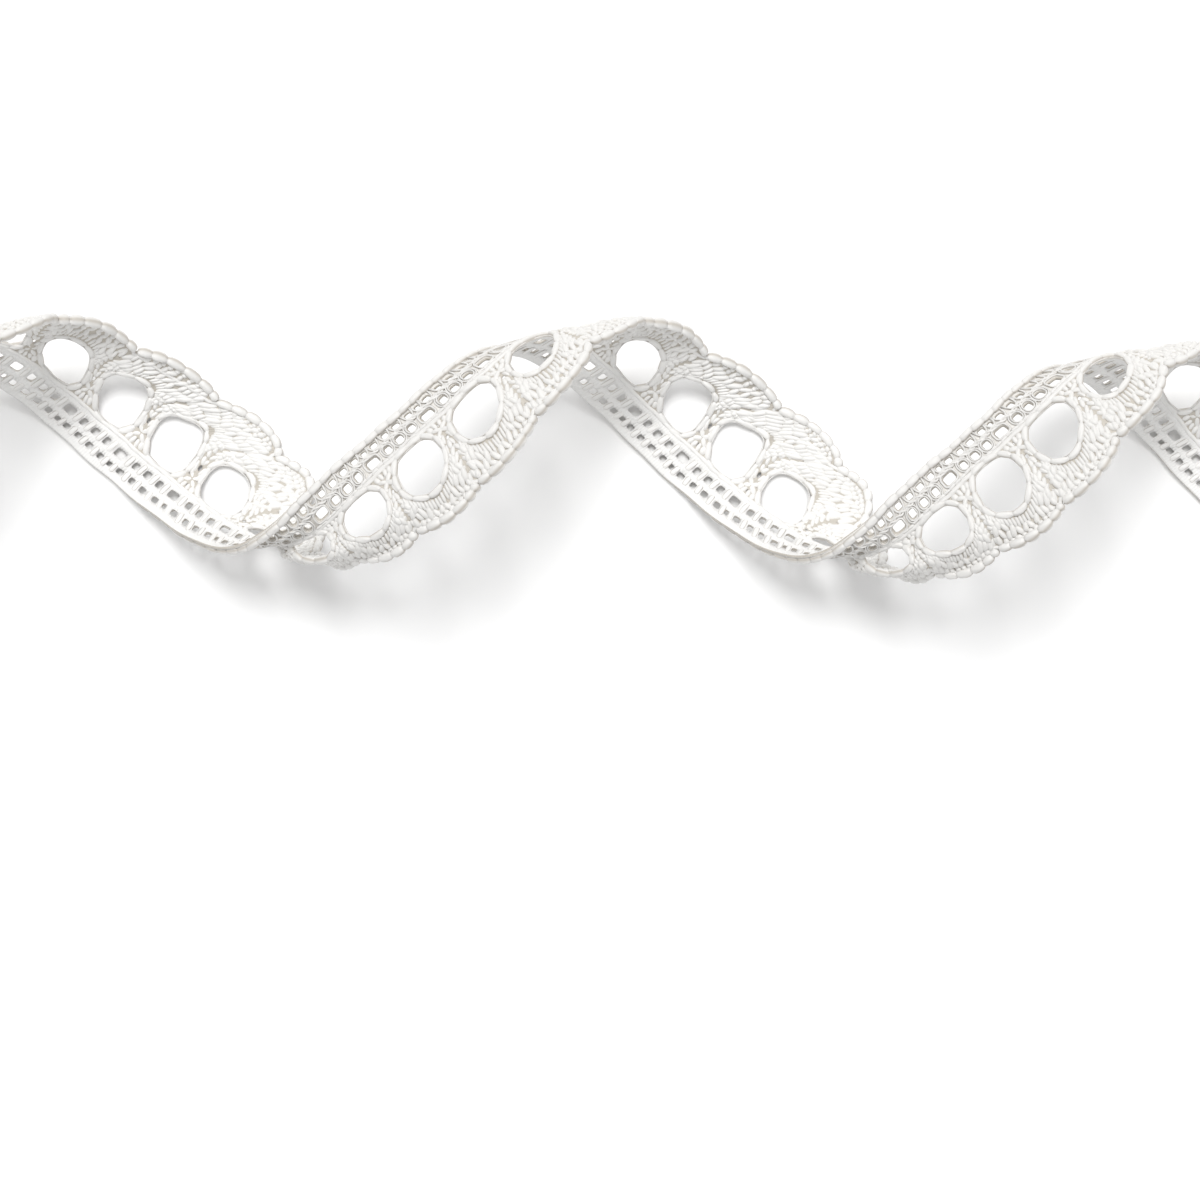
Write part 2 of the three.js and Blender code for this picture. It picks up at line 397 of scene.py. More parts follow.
def addTube(threads, path, width, height, sides=8, closed=False):
    # path: charted places along the thread's middle; width and height may change along it
    path = np.asarray(path, float)
    steps = len(path)
    width = np.broadcast_to(width, steps)
    height = np.broadcast_to(height, steps)
    if closed:
        way = np.roll(path, -1, axis=0) - np.roll(path, 1, axis=0)
    else:
        way = np.gradient(path, axis=0)
    way = way[:, :2] / np.linalg.norm(way[:, :2], axis=1, keepdims=True)
    turn = 2 * math.pi * np.arange(sides) / sides
    rings = np.zeros((steps, sides, 6))
    rings[..., 0:2] = path[:, None, 0:2]
    rings[..., 2:4] = way[:, None]
    rings[..., 4] = np.cos(turn) * width[:, None] / 2
    rings[..., 5] = path[:, None, 2] + np.sin(turn) * height[:, None] / 2
    spans = np.linalg.norm(np.diff(path, axis=0, append=path[:1]), axis=1)
    lengths = np.concatenate([[0], np.cumsum(spans)])
    count = steps if closed else steps - 1
    i = np.arange(count)[:, None]
    j = np.arange(sides)[None, :]
    i, j = np.broadcast_arrays(i, j)
    after = (i + 1) % steps
    beside = (j + 1) % sides
    here, there = i * sides, after * sides
    quads = np.stack([here + j, here + beside, there + beside, there + j], -1)
    alongTurns = np.stack([lengths[i], lengths[i], lengths[i + 1], lengths[i + 1]], -1)
    roundTurns = np.stack([j, j + 1, j + 1, j], -1) / sides
    quadTurns = np.stack([alongTurns, roundTurns], -1)
    places = rings.reshape(-1, 6)
    triangles = np.zeros((0, 3), int)
    triangleTurns = np.zeros((0, 3, 2))
    if not closed:
        ends = np.zeros((2, 6))
        ends[:, 0:2], ends[:, 2:4], ends[:, 5] = path[[0, -1], :2], way[[0, -1]], path[[0, -1], 2]
        places = np.concatenate([places, ends])
        first, last = steps * sides, steps * sides + 1
        k = np.arange(sides)
        low = np.stack([np.full(sides, first), (k + 1) % sides, k], -1)
        base = (steps - 1) * sides
        high = np.stack([np.full(sides, last), base + k, base + (k + 1) % sides], -1)
        triangles = np.concatenate([low, high])
        triangleTurns = np.zeros((2 * sides, 3, 2))
        triangleTurns[sides:, :, 0] = lengths[steps - 1]
    threads.add(places, quads, triangles, quadTurns, triangleTurns)


def deselectAll():
    if bpy.context.object and bpy.context.object.mode != "OBJECT":
        bpy.ops.object.mode_set(mode="OBJECT")
    bpy.ops.object.select_all(action="DESELECT")


def selectRings(shape, low, high):
    # in edit mode: the vertices whose height lies between low and high
    mesh = bmesh.from_edit_mesh(shape.data)
    for vertex in mesh.verts:
        vertex.select = low < vertex.co.z < high
    mesh.select_flush_mode()
    bmesh.update_edit_mesh(shape.data)


def modelStitch(name, shoulders):
    # a round stitch standing on its end, its rings drawn to the given widths
    deselectAll()
    bpy.ops.mesh.primitive_uv_sphere_add(segments=8, ring_count=6, radius=1)
    shape = bpy.context.object
    shape.name = name
    bpy.ops.object.mode_set(mode="EDIT")
    bpy.ops.mesh.select_mode(type="VERT")
    for low, high, widen in shoulders:
        selectRings(shape, low, high)
        bpy.ops.transform.resize(value=(widen, widen, 1), center_override=(0, 0, 0))
    bpy.ops.object.mode_set(mode="OBJECT")
    return readStitch(shape)


def readStitch(shape):
    # the modelled stitch as arrays: share along it, sideways and up, and its faces
    mesh = shape.data
    places = np.array([(v.co.z / 2 + 0.5, v.co.x, v.co.y) for v in mesh.vertices])
    faces = {3: [], 4: []}
    turns = {3: [], 4: []}
    for face in mesh.polygons:
        centre = math.atan2(face.center.y, face.center.x) / (2 * math.pi)
        around = []
        for vertex in face.vertices:
            co = mesh.vertices[vertex].co
            turn = centre
            if co.x**2 + co.y**2 > 1e-6:
                turn = math.atan2(co.y, co.x) / (2 * math.pi)
            turn -= round(turn - centre)
            around.append((co.z / 2 + 0.5, turn))
        faces[len(around)].append(list(face.vertices))
        turns[len(around)].append(around)
    bpy.data.objects.remove(shape)
    return {
        "places": places,
        "quads": np.array(faces[4]),
        "triangles": np.array(faces[3]),
        "quadTurns": np.array(turns[4]),
        "triangleTurns": np.array(turns[3]),
    }


def addStitches(threads, stitch, rows):
    # rows: start and end (lengthwise, across), width, height, lift, bend
    rows = np.asarray(rows, float).reshape(-1, 8)
    start, end = rows[:, None, 0:2], rows[:, None, 2:4]
    width, height, lift, bend = (rows[:, 4 + i, None] for i in range(4))
    share, side, up = stitch["places"].T
    way = end - start
    length = np.linalg.norm(way, axis=2)
    sideways = np.stack([-way[..., 1], way[..., 0]], -1) / length[..., None]
    arch = 4 * share * (1 - share)
    flat = start + way * share[None, :, None] + sideways * (bend * arch)[..., None]
    aside, raised = side * width / 2, lift + up * height / 2
    ways = np.broadcast_to(way, flat.shape)
    places = np.concatenate([flat, ways, aside[..., None], raised[..., None]], -1)
    offsets = (np.arange(len(rows)) * len(share))[:, None, None]
    quads = stitch["quads"][None] + offsets
    triangles = stitch["triangles"][None] + offsets
    scale = np.stack([length[:, 0], np.ones(len(rows))], -1)[:, None, None, :]
    quadTurns = stitch["quadTurns"][None] * scale
    triangleTurns = stitch["triangleTurns"][None] * scale
    threads.add(places, quads, triangles, quadTurns, triangleTurns)


def bothSides(rows):
    # a charted half and its mirror image across the opening's middle
    rows = np.asarray(rows, float).reshape(-1, 8)
    turned = rows * np.array([-1, 1, -1, 1, 1, 1, 1, -1])
    return np.concatenate([rows, turned])


def everyRepeat(rows, stray=0.05):
    rows = np.asarray(rows, float).reshape(-1, 8)
    laid = np.repeat(rows[None], len(repeats), axis=0)
    laid[..., 0] += repeats[:, None] * repeatLength
    laid[..., 2] += repeats[:, None] * repeatLength
    return roughened(laid, stray)


def roughened(rows, stray=0.05):
    laid = np.array(rows, float).reshape(-1, 8)
    laid[..., :4] += chance.normal(0, stray, laid[..., :4].shape)
    laid[..., 4:6] *= 1 + chance.normal(0, 0.06, laid[..., 4:6].shape)
    laid[..., 6] += chance.normal(0, 0.03, laid[..., 6].shape)
    middle = (laid[:, 0] + laid[:, 2]) / 2
    return laid[(middle > stripStart) & (middle < stripEnd)]


def rimAcross(lengthwise):
    swell = np.maximum(np.cos(math.pi * lengthwise / repeatLength), 0)
    depth = laceSize["width"] - laceSize["notchAcross"]
    return laceSize["notchAcross"] + depth * swell ** laceSize["scallopRoundness"]


opening = {
    "middle": 13.2,
    "halfLength": 4.75,
    "towardsEdge": 5.0,
    "towardsScallop": 5.0,
    "squareness": 3.0,
    "roundness": 2.0,
    "cordWidth": 1.15,
    "cordHeight": 1.4,
    "cordLift": 0.1,
    "links": 11,
    "firstJoint": 0.3,
    "overlap": 0.06,
    "plumpness": 1.18,
    "coreShare": 0.65,
    "lipWidth": 0.24,
    "lipHeight": 0.45,
    "lipLevel": -0.12,
}


def openingPlace(angle, outward=0.0):
    # angle 0 points to the scallop, a quarter turn along the strip
    lengthwise, across = np.sin(angle), np.cos(angle)
    half = np.where(across < 0, opening["towardsEdge"], opening["towardsScallop"])
    power = np.where(across < 0, opening["squareness"], opening["roundness"])
    spread = np.abs(lengthwise / opening["halfLength"]) ** power + np.abs(across / half) ** power
    reach = spread ** (-1 / power) + outward
    return np.stack([reach * lengthwise, opening["middle"] + reach * across], axis=-1)


ground = {
    "grid": 0.68,
    "edgeAcross": 0.25,
    "rimInset": 0.7,
    "headingThickness": 0.5,
    "headingHeight": -0.16,
    "scallopThickness": 0.32,
    "scallopHeight": -0.03,
    "headingEnd": 7.9,
}

# Holes of the heading, for one repeat: middle lengthwise, middle across, half sizes
edgeRowHoles = [(-4.45, 2.5, 0.85, 0.7), (-1.4, 2.5, 0.85, 0.7), (1.4, 2.5, 0.85, 0.7),
                (4.45, 2.5, 0.85, 0.7), (-post, 2.5, 0.6, 0.6), (post, 2.5, 0.6, 0.6)]
ringRowHoles = [(-3.0, 5.25, 0.88, 0.95), (0.0, 5.25, 0.88, 0.95), (3.0, 5.25, 0.88, 0.95)]
postHoles = [(-post, 5.25, 1.45, 1.05), (post, 5.25, 1.45, 1.05)]
holeSquareness = 3.5
ringHoleSquareness = 2.6
# On the inner face the holes of the heading are squarer and smaller by this share
innerHole = {"squareness": 7.0, "share": 0.78, "nearOutline": 0.03}
# Pinholes between the stitches of a post, with their mirror images
pinholes = [(post, 8.9, 0.2, 0.4), (post - 1.05, 10.9, 0.25, 0.3), (post, 12.7, 0.35, 0.6),
            (post - 0.35, 15.1, 0.22, 0.35), (post - 1.15, 16.6, 0.25, 0.4), (post, 20.0, 0.25, 0.4)]


def outlineReach(lengthwise, across, squareness):
    return (np.abs(lengthwise) ** squareness + np.abs(across) ** squareness) ** (1 / squareness)


def roundedHole(middleAlong, middleAcross, halfLength, halfAcross,
                squareness=holeSquareness, points=16):
    turn = 2 * math.pi * np.arange(points) / points
    spread = np.abs(np.cos(turn)) ** squareness + np.abs(np.sin(turn)) ** squareness
    reach = spread ** (-1 / squareness)
    lengthwise = middleAlong + halfLength * reach * np.cos(turn)
    return np.stack([lengthwise, middleAcross + halfAcross * reach * np.sin(turn)], -1)


def innerPlaces(places):
    # the same places on the inner face, where the outlines of the heading's holes close in
    moved = places.copy()
    repeat = np.round(places[:, 0] / repeatLength) * repeatLength
    groups = (
        (edgeRowHoles, holeSquareness),
        (ringRowHoles, ringHoleSquareness),
        (postHoles, holeSquareness),
    )
    for holes, squareness in groups:
        for middle, across, halfLength, halfAcross in holes:
            u = (places[:, 0] - repeat - middle) / halfLength
            v = (places[:, 1] - across) / halfAcross
            near = np.abs(outlineReach(u, v, squareness) - 1) < innerHole["nearOutline"]
            shrink = innerHole["share"] / outlineReach(u[near], v[near], innerHole["squareness"])
            moved[near, 0] = repeat[near] + middle + u[near] * halfLength * shrink
            moved[near, 1] = across + v[near] * halfAcross * shrink
    return moved


def groundHoles():
    turn = 2 * math.pi * np.arange(48) / 48
    holes = [openingPlace(turn, 0.4)]
    for hole in edgeRowHoles:
        holes.append(roundedHole(*hole))
    for hole in ringRowHoles:
        holes.append(roundedHole(*hole, squareness=ringHoleSquareness))
    for hole in postHoles:
        holes.append(roundedHole(*hole, points=20))
    for middle, across, halfLength, halfAcross in pinholes:
        holes.append(roundedHole(middle, across, halfLength, halfAcross, 2, 8))
        holes.append(roundedHole(-middle, across, halfLength, halfAcross, 2, 8))
    return holes


def inside(outline, points):
    # how often a line from each point crosses the outline
    x, y = points[:, 0], points[:, 1]
    crossings = np.zeros(len(points), int)
    for (x0, y0), (x1, y1) in zip(outline, np.roll(outline, -1, axis=0)):
        spans = (y0 > y) != (y1 > y)
        with np.errstate(divide="ignore", invalid="ignore"):
            meets = x < (x1 - x0) * (y - y0) / (y1 - y0) + x0
        crossings += spans & meets
    return crossings % 2 == 1


def groundCell():
    # one repeat of the ground cloth as flat triangles, from post to post
    size = ground
    rim = np.linspace(post, -post, 25)
    top = np.stack([rim, rimAcross(rim) - size["rimInset"]], -1)
    low = np.stack([np.linspace(-post, post, 21), np.full(21, size["edgeAcross"])], -1)
    left = np.linspace(top[-1], low[0], 34)[1:-1]
    right = np.linspace(low[-1], top[0], 34)[1:-1]
    border = np.concatenate([low, right, top, left])
    holes = groundHoles()
    columns = np.arange(-post + size["grid"] / 2, post, size["grid"])
    rows = np.arange(size["edgeAcross"] + size["grid"] / 2, laceSize["width"], size["grid"])
    net = np.stack(np.meshgrid(columns, rows), -1).reshape(-1, 2)
    keep = inside(border, net)
    for hole in holes:
        middle = hole.mean(axis=0)
        keep &= ~inside(middle + (hole - middle) * 1.12, net)
    points = [border, *holes, net[keep]]
    edges = []
    count = 0
    for outline in points[:-1]:
        around = np.arange(len(outline))
        edges += list(zip(around + count, np.roll(around, -1) + count))
        count += len(outline)
    given = [Vector(p) for p in np.concatenate(points)]
    links = [(int(a), int(b)) for a, b in edges]
    found = delaunay_2d_cdt(given, links, [], 0, 1e-5)
    flat = np.array([(p.x, p.y) for p in found[0]])
    triangles = np.array([face for face in found[2] if len(face) == 3])
    centres = flat[triangles].mean(axis=1)
    kept = inside(border, centres)
    for hole in holes:
        kept &= ~inside(hole, centres)
    return flat, triangles[kept]


def groundThreads():
    # the cell repeated along the strip, its seams joined, then given its two faces and walls
    size = ground
    flat, triangles = groundCell()
    shift = np.stack([repeats * repeatLength, np.zeros(len(repeats))], -1)
    places = (flat[None] + shift[:, None]).reshape(-1, 2)
    faces = (triangles[None] + (np.arange(len(repeats)) * len(flat))[:, None, None]).reshape(-1, 3)
    names = np.round(places, 3)
    found = np.unique(names, axis=0, return_index=True, return_inverse=True)
    first, where = found[1:]
    faces = where.reshape(-1)[faces]
    whole = np.all(faces != np.roll(faces, -1, axis=1), axis=1)
    faces = faces[whole]
    places = places[first]
    scallop = np.clip((places[:, 1] - size["headingEnd"] + 0.5) / 1.0, 0, 1)
    half = (size["headingThickness"] * (1 - scallop) + size["scallopThickness"] * scallop) / 2
    middle = size["headingHeight"] * (1 - scallop) + size["scallopHeight"] * scallop
    count = len(places)
    raised = np.concatenate([middle + half, middle - half])
    both = np.zeros((2 * count, 6))
    both[:, 0:2] = np.concatenate([places, innerPlaces(places)])
    both[:, 2] = 1
    both[:, 5] = raised
    ways = np.concatenate([faces[:, [0, 1]], faces[:, [1, 2]], faces[:, [2, 0]]])
    edges = np.sort(ways, axis=1)
    at, uses = np.unique(edges, axis=0, return_index=True, return_counts=True)[1:]
    rimWays = ways[at[uses == 1]]
    walls = np.stack([rimWays[:, 1], rimWays[:, 0], rimWays[:, 0] + count, rimWays[:, 1] + count], -1)
    allFaces = np.concatenate([faces, faces[:, ::-1] + count])
    threads = Threads()
    chart = both[:, :2] + np.outer(np.arange(2 * count) >= count, (0, innerChart))
    threads.add(both, walls, allFaces, chart[walls], chart[allFaces])
    return threads


edgeCord = {
    "pitch": 2.95,
    "width": 1.5,
    "height": 1.4,
    "across": 0.95,
    "lift": 0.45,
    "overlap": 0.45,
    "coreWidth": 0.95,
    "coreHeight": 0.9,
    "coreStep": 0.98,
    "coreSinking": 0.1,
}


def edgeCordThreads(link):
    # a chain of plump links along the straight edge, on a core that fills their joints
    size = edgeCord
    threads = Threads()
    starts = np.arange(stripStart, stripEnd - 0.5, size["pitch"])
    rows = []
    for start in starts:
        end = min(start + size["pitch"] + size["overlap"], stripEnd)
        rows.append((start, size["across"] + 0.05, end, size["across"] - 0.05,
                     size["width"], size["height"], size["lift"], 0.0))
    rows = np.array(rows)
    rows[:, 1:4:2] += chance.normal(0, 0.05, (len(rows), 2))
    rows[:, 4:6] *= 1 + chance.normal(0, 0.05, (len(rows), 2))
    addStitches(threads, link, rows)
    core = np.arange(stripStart, stripEnd + 0.01, size["coreStep"])
    level = size["lift"] - size["coreSinking"]
    path = np.stack([core, np.full(len(core), size["across"]), np.full(len(core), level)], -1)
    addTube(threads, path, size["coreWidth"], size["coreHeight"])
    return threads


def wavyPath(across, sway, wave, phase, height, step, lift=0.0):
    # a thread along the strip that swings from side to side, and up and down with it
    lengthwise = np.arange(stripStart, stripEnd + 0.01, step)
    swing = 2 * math.pi * lengthwise / wave + phase
    return np.stack([lengthwise, across + sway * np.sin(swing), height + lift * np.cos(swing)], -1)


headingThread = {
    "middleAcross": 3.72,
    "sway": 0.26,
    "rise": 0.12,
    "step": 0.34,
    "cordWidth": 0.5,
    "cordHeight": 0.55,
    "barWidth": 0.42,
    "ringWidth": 0.34,
    "ringGap": 0.38,
    "threadHeight": 0.5,
    "lift": 0.28,
}


def headingCords():
    size = headingThread
    threads = Threads()
    wave = repeatLength / 5
    for phase in (0, math.pi):
        path = wavyPath(size["middleAcross"], size["sway"], wave, phase, size["lift"],
                        size["step"], size["rise"])
        addTube(threads, path, size["cordWidth"], size["cordHeight"], sides=6)
    return threads


def arcPath(middle, top, halfTop, halfLow, depth, height, points=13):
    # a thread hung like a U from the cord above it
    turn = np.linspace(-math.pi / 2, math.pi / 2, points)
    bulge = np.abs(np.sin(turn)) ** 0.7 * np.sign(np.sin(turn))
    share = np.cos(turn) ** 0.55
    half = halfTop * (1 - share) + halfLow * share
    return np.stack([middle + bulge * half, top + depth * share, np.full(points, height)], -1)


def headingRings():
    # the hanging threads round each hole of the edge row, and the rings of the second row
    size = headingThread
    threads = Threads()
    for repeat in repeats * repeatLength:
        for middle, across, halfLength, halfAcross in edgeRowHoles[:5]:
            half = halfLength + size["barWidth"] / 2
            path = arcPath(repeat + middle, across - halfAcross - 0.35, half + 0.22, half,
                           2 * halfAcross + 0.55, size["lift"])
            addTube(threads, path, size["barWidth"], size["threadHeight"], sides=6)
        for middle, across, halfLength, halfAcross in ringRowHoles:
            innerRing = size["ringWidth"] / 2
            for outward in (innerRing, innerRing + size["ringGap"]):
                outline = roundedHole(repeat + middle, across, halfLength + outward,
                                      halfAcross + outward, 2.4, 20)
                path = np.column_stack([outline, np.full(20, size["lift"] + 0.05)])
                addTube(threads, path, size["ringWidth"], size["threadHeight"], 6, closed=True)
        middle, across, halfLength, halfAcross = postHoles[1]
        if repeat + middle < stripEnd - 1:
            outline = roundedHole(repeat + middle, across, halfLength + 0.2, halfAcross + 0.2, 4, 28)
            path = np.column_stack([outline, np.full(28, size["lift"])])
            addTube(threads, path, size["barWidth"], size["threadHeight"], 6, closed=True)
    return threads


beadedCord = {
    "knotAcross": 6.85,
    "knotHalfLength": 0.85,
    "knotWidth": 0.72,
    "knotHeight": 0.95,
    "knotLift": 0.12,
    "cordAcross": 7.6,
    "cordWidth": 1.0,
    "cordHeight": 1.2,
    "cordSway": 0.04,
    "beadPitch": 1.37,
    "swellShare": 0.05,
    "swellLength": 3.4,
}


def beadedCordThreads(link):
    size = beadedCord
    threads = Threads()
    lengthwise = np.arange(stripStart + size["beadPitch"] / 2, stripEnd, size["beadPitch"])
    knots = np.zeros((len(lengthwise), 8))
    knots[:, 0] = lengthwise - size["knotHalfLength"]
    knots[:, 2] = lengthwise + size["knotHalfLength"]
    knots[:, 1:4:2] = size["knotAcross"] + chance.normal(0, 0.07, (len(knots), 2))
    knots[:, 4] = size["knotWidth"] * (1 + chance.normal(0, 0.1, len(knots)))
    knots[:, 5] = size["knotHeight"]
    knots[:, 6] = size["knotLift"]
    addStitches(threads, link, knots)
    path = wavyPath(size["cordAcross"], size["cordSway"], repeatLength / 3, 0.5, 0.0, 0.5)
    swell = 1 + size["swellShare"] * np.sin(2 * math.pi * path[:, 0] / size["swellLength"])
    addTube(threads, path, size["cordWidth"] * swell, size["cordHeight"] * swell)
    return threads


def evenMarks(outward, count, start=0.0):
    # places on the opening's outline, the same distance apart along it
    turn = 2 * math.pi * np.arange(241) / 240 + start
    outline = openingPlace(turn, outward)
    lengths = np.concatenate([[0], np.cumsum(np.linalg.norm(np.diff(outline, axis=0), axis=1))])
    marks = np.interp(np.arange(count + 1) / count * lengths[-1], lengths, turn)
    return openingPlace(marks, outward)


def openingCords(link):
    # the plump links round each opening on their core, and the fine lip inside them
    size = opening
    threads = Threads()
    rows = []
    marks = evenMarks(size["cordWidth"] / 2, size["links"], size["firstJoint"])
    for here, after in zip(marks, marks[1:]):
        over = (after - here) * size["overlap"]
        chord = np.linalg.norm(after - here)
        bend = chord**2 / (8 * (size["halfLength"] + size["cordWidth"] / 2))
        rows.append((*(here - over), *(after + over), size["cordWidth"] * size["plumpness"],
                     size["cordHeight"], size["cordLift"], bend))
    addStitches(threads, link, everyRepeat(rows, 0.03))
    turn = 2 * math.pi * np.arange(40) / 40
    coreWidth, coreHeight = size["cordWidth"] * size["coreShare"], size["cordHeight"] * size["coreShare"]
    for repeat in repeats * repeatLength:
        flat = openingPlace(turn, size["cordWidth"] / 2) + (repeat, 0)
        path = np.column_stack([flat, np.full(len(turn), size["cordLift"])])
        addTube(threads, path, coreWidth, coreHeight, sides=6, closed=True)
        lip = openingPlace(turn, 0.05) + (repeat, 0)
        path = np.column_stack([lip, np.full(len(turn), size["lipLevel"])])
        addTube(threads, path, size["lipWidth"], size["lipHeight"], sides=6, closed=True)
    return threads


# Stitches of a post, right of the opening's middle: start and end as (before the post,
# across), then width, height, lift and bend. Each has its mirror image at the next opening.
postStitches = [
    (1.75, 7.9, 1.35, 9.5, 0.95, 1.05, 0.10, 0.0),
    (0.75, 7.6, 0.35, 9.5, 0.75, 1.00, 0.15, 0.0),
    (1.60, 9.2, -0.10, 10.5, 0.85, 0.95, 0.20, 0.0),
    (1.45, 11.8, -0.20, 10.2, 0.80, 0.95, 0.24, 0.0),
    (0.62, 10.8, 1.15, 12.4, 0.60, 0.85, 0.12, 0.0),
    (0.35, 11.6, 0.95, 13.6, 0.62, 0.90, 0.14, 0.1),
    (1.25, 12.0, 1.40, 14.3, 0.50, 0.85, 0.10, 0.0),
    (0.05, 13.2, 0.60, 15.0, 0.75, 0.90, 0.16, 0.0),
    (1.00, 13.6, 1.55, 15.7, 0.60, 0.85, 0.10, 0.1),
    (0.15, 14.8, 1.10, 16.5, 0.75, 0.95, 0.15, 0.0),
    (1.45, 15.4, 2.25, 17.2, 0.65, 0.85, 0.08, 0.1),
    (0.10, 16.2, 1.25, 17.8, 0.80, 0.95, 0.14, 0.0),
    (1.30, 16.9, 2.60, 18.5, 0.70, 0.90, 0.10, 0.0),
    (0.10, 17.6, 1.50, 19.0, 0.80, 0.95, 0.14, 0.0),
    (2.30, 17.3, 3.60, 18.8, 0.60, 0.85, 0.08, 0.0),
    (0.15, 18.7, 2.30, 20.2, 0.95, 1.05, 0.12, 0.2),
    (1.60, 18.4, 3.00, 19.7, 0.70, 0.90, 0.10, 0.0),
    (0.20, 19.7, 0.90, 21.3, 0.90, 1.00, 0.10, 0.0),
]
postPlumpness = 1.4
postSinking = 0.1  # so that the stitches show on the inner face too


def postThreads(stitch):
    rows = np.array(postStitches)
    rows[:, 4] *= postPlumpness
    rows[:, 6] -= postSinking
    rows[:, 0] = post - rows[:, 0]
    rows[:, 2] = post - rows[:, 2]
    threads = Threads()
    addStitches(threads, stitch, everyRepeat(bothSides(rows)))
    return threads


fan = {
    "teeth": 21,
    "columns": 12,
    "innerAngle": 70,
    "outerReach": 5.9,
    "toothShare": 0.36,
    "toothWidth": 0.78,
    "toothHeight": 1.05,
    "toothLength": 1.1,  # of a leaf's length, at most
    "underCord": 0.15,
    "leafLength": 1.65,
    "leafWidth": 1.3,
    "leafHeight": 1.35,
    "lift": 0.06,
    "lean": 0.36,
    "outerLean": 0.35,
    "rowsPerLeaf": 0.8,
    "mostRows": 6,
}


def fanWays(count):
    # the ways from the opening's cord to the beads inside the rim
    share = np.linspace(-1, 1, count)
    reach = opening["cordWidth"] - fan["underCord"]
    inner = openingPlace(np.radians(fan["innerAngle"]) * share, reach)
    outerAlong = fan["outerReach"] * share
    outer = np.stack([outerAlong, rimAcross(outerAlong) - rim["width"]], -1)
    way = outer - inner
    sideways = np.stack([-way[:, 1], way[:, 0]], -1) / np.linalg.norm(way, axis=1, keepdims=True)
    return inner, way, sideways


def lengthOnCoil(begin, way):
    return np.linalg.norm(coilPoint(*(begin + way).T) - coilPoint(*begin.T), axis=1)


def fanThreads(stitch):
    # short teeth under the opening's cord, then leaves in a zigzag, more rows of them where
    # the fan opens wide on the coil
    size = fan
    rows = []
    for repeat in repeats:
        shift = np.array([repeat * repeatLength, 0])
        inner, way, sideways = fanWays(size["teeth"])
        begin = inner + shift
        spread = lengthOnCoil(begin, way)
        share = np.minimum(size["toothShare"], size["leafLength"] * size["toothLength"] / spread)
        for start, out, reach in zip(begin, way, share):
            rows.append((*start, *(start + out * reach), size["toothWidth"],
                         size["toothHeight"], size["lift"], 0.0))
        inner, way, sideways = fanWays(size["columns"])
        begin = inner + shift
        spread = lengthOnCoil(begin, way)
        counts = np.round(spread * size["rowsPerLeaf"] / size["leafLength"])
        counts = np.clip(counts, 2, size["mostRows"]).astype(int)
        for column in range(size["columns"]):
            start, out, side = begin[column], way[column], sideways[column] * size["lean"]
            count = counts[column]
            first = min(size["toothShare"], size["leafLength"] / spread[column]) * 0.8
            for row in range(count):
                lean = side if (column + row) % 2 else -side
                if row == count - 1:
                    lean = lean * size["outerLean"]
                low = first + (1 - first) * (row - 0.1) / count
                high = first + (1 - first) * (row + 1.15) / count
                rows.append((*(start + out * low - lean), *(start + out * min(high, 1) + lean),
                             size["leafWidth"], size["leafHeight"], size["lift"], 0.0))
    threads = Threads()
    addStitches(threads, stitch, roughened(rows))
    return threads


rim = {
    "links": 6,
    "width": 1.75,
    "height": 1.9,
    "overlap": 0.2,
    "bunching": 1.15,
    "coreWidth": 0.9,
    "coreHeight": 1.0,
    "beads": 15,
    "beadSize": 0.62,
    "beadHeight": 0.9,
    "beadLift": 0.15,
}


def rimThreads(link):
    # the rope of the scalloped rim, its links from notch to notch, and the beads inside it
    size = rim
    reach = post - 0.35
    share = np.linspace(-1, 1, size["links"] + 1)
    marks = np.sin(share * size["bunching"]) / math.sin(size["bunching"]) * reach
    middle = np.stack([marks, rimAcross(marks) - size["width"] / 2 - 0.02], -1)
    rows = []
    for i in range(size["links"]):
        way = middle[i + 1] - middle[i]
        over = way / np.linalg.norm(way) * size["overlap"]
        rows.append((*(middle[i] - over), *(middle[i + 1] + over),
                     size["width"], size["height"], 0.0, 0.2))
    threads = Threads()
    addStitches(threads, link, everyRepeat(rows, 0.04))
    core = np.arange(stripStart + 0.4, stripEnd - 0.4, 0.6)
    inward = rimAcross(core) - size["width"] / 2 - 0.1
    path = np.stack([core, inward, np.zeros(len(core))], -1)
    addTube(threads, path, size["coreWidth"], size["coreHeight"], sides=6)
    beads = np.linspace(-1, 1, size["beads"]) * (post - 0.9)
    slope = np.gradient(rimAcross(beads), beads)
    across = rimAcross(beads) - (size["width"] + 0.1) * np.sqrt(1 + slope**2)
    half = size["beadSize"] * 0.62
    rows = np.zeros((len(beads), 8))
    rows[:, 0], rows[:, 1] = beads - half, across - half * slope
    rows[:, 2], rows[:, 3] = beads + half, across + half * slope
    rows[:, 4:7] = size["beadSize"], size["beadHeight"], size["beadLift"]
    addStitches(threads, link, everyRepeat(rows, 0.04))
    return threads


backTape = {"width": 1.0, "height": 0.2, "level": -0.43}


def backTapes(link):
    # flat tapes on the inner face of the heading, beside its holes
    size = backTape
    rows = []
    for middle in (0.0, 2.9, 5.85):
        rows.append((middle, 1.4, middle, 3.5, size["width"], size["height"], size["level"], 0.0))
    for middle in (1.5, 4.6):
        rows.append((middle, 4.0, middle, 6.7, size["width"], size["height"], size["level"], 0.0))
    threads = Threads()
    addStitches(threads, link, everyRepeat(bothSides(rows)))
    return threads


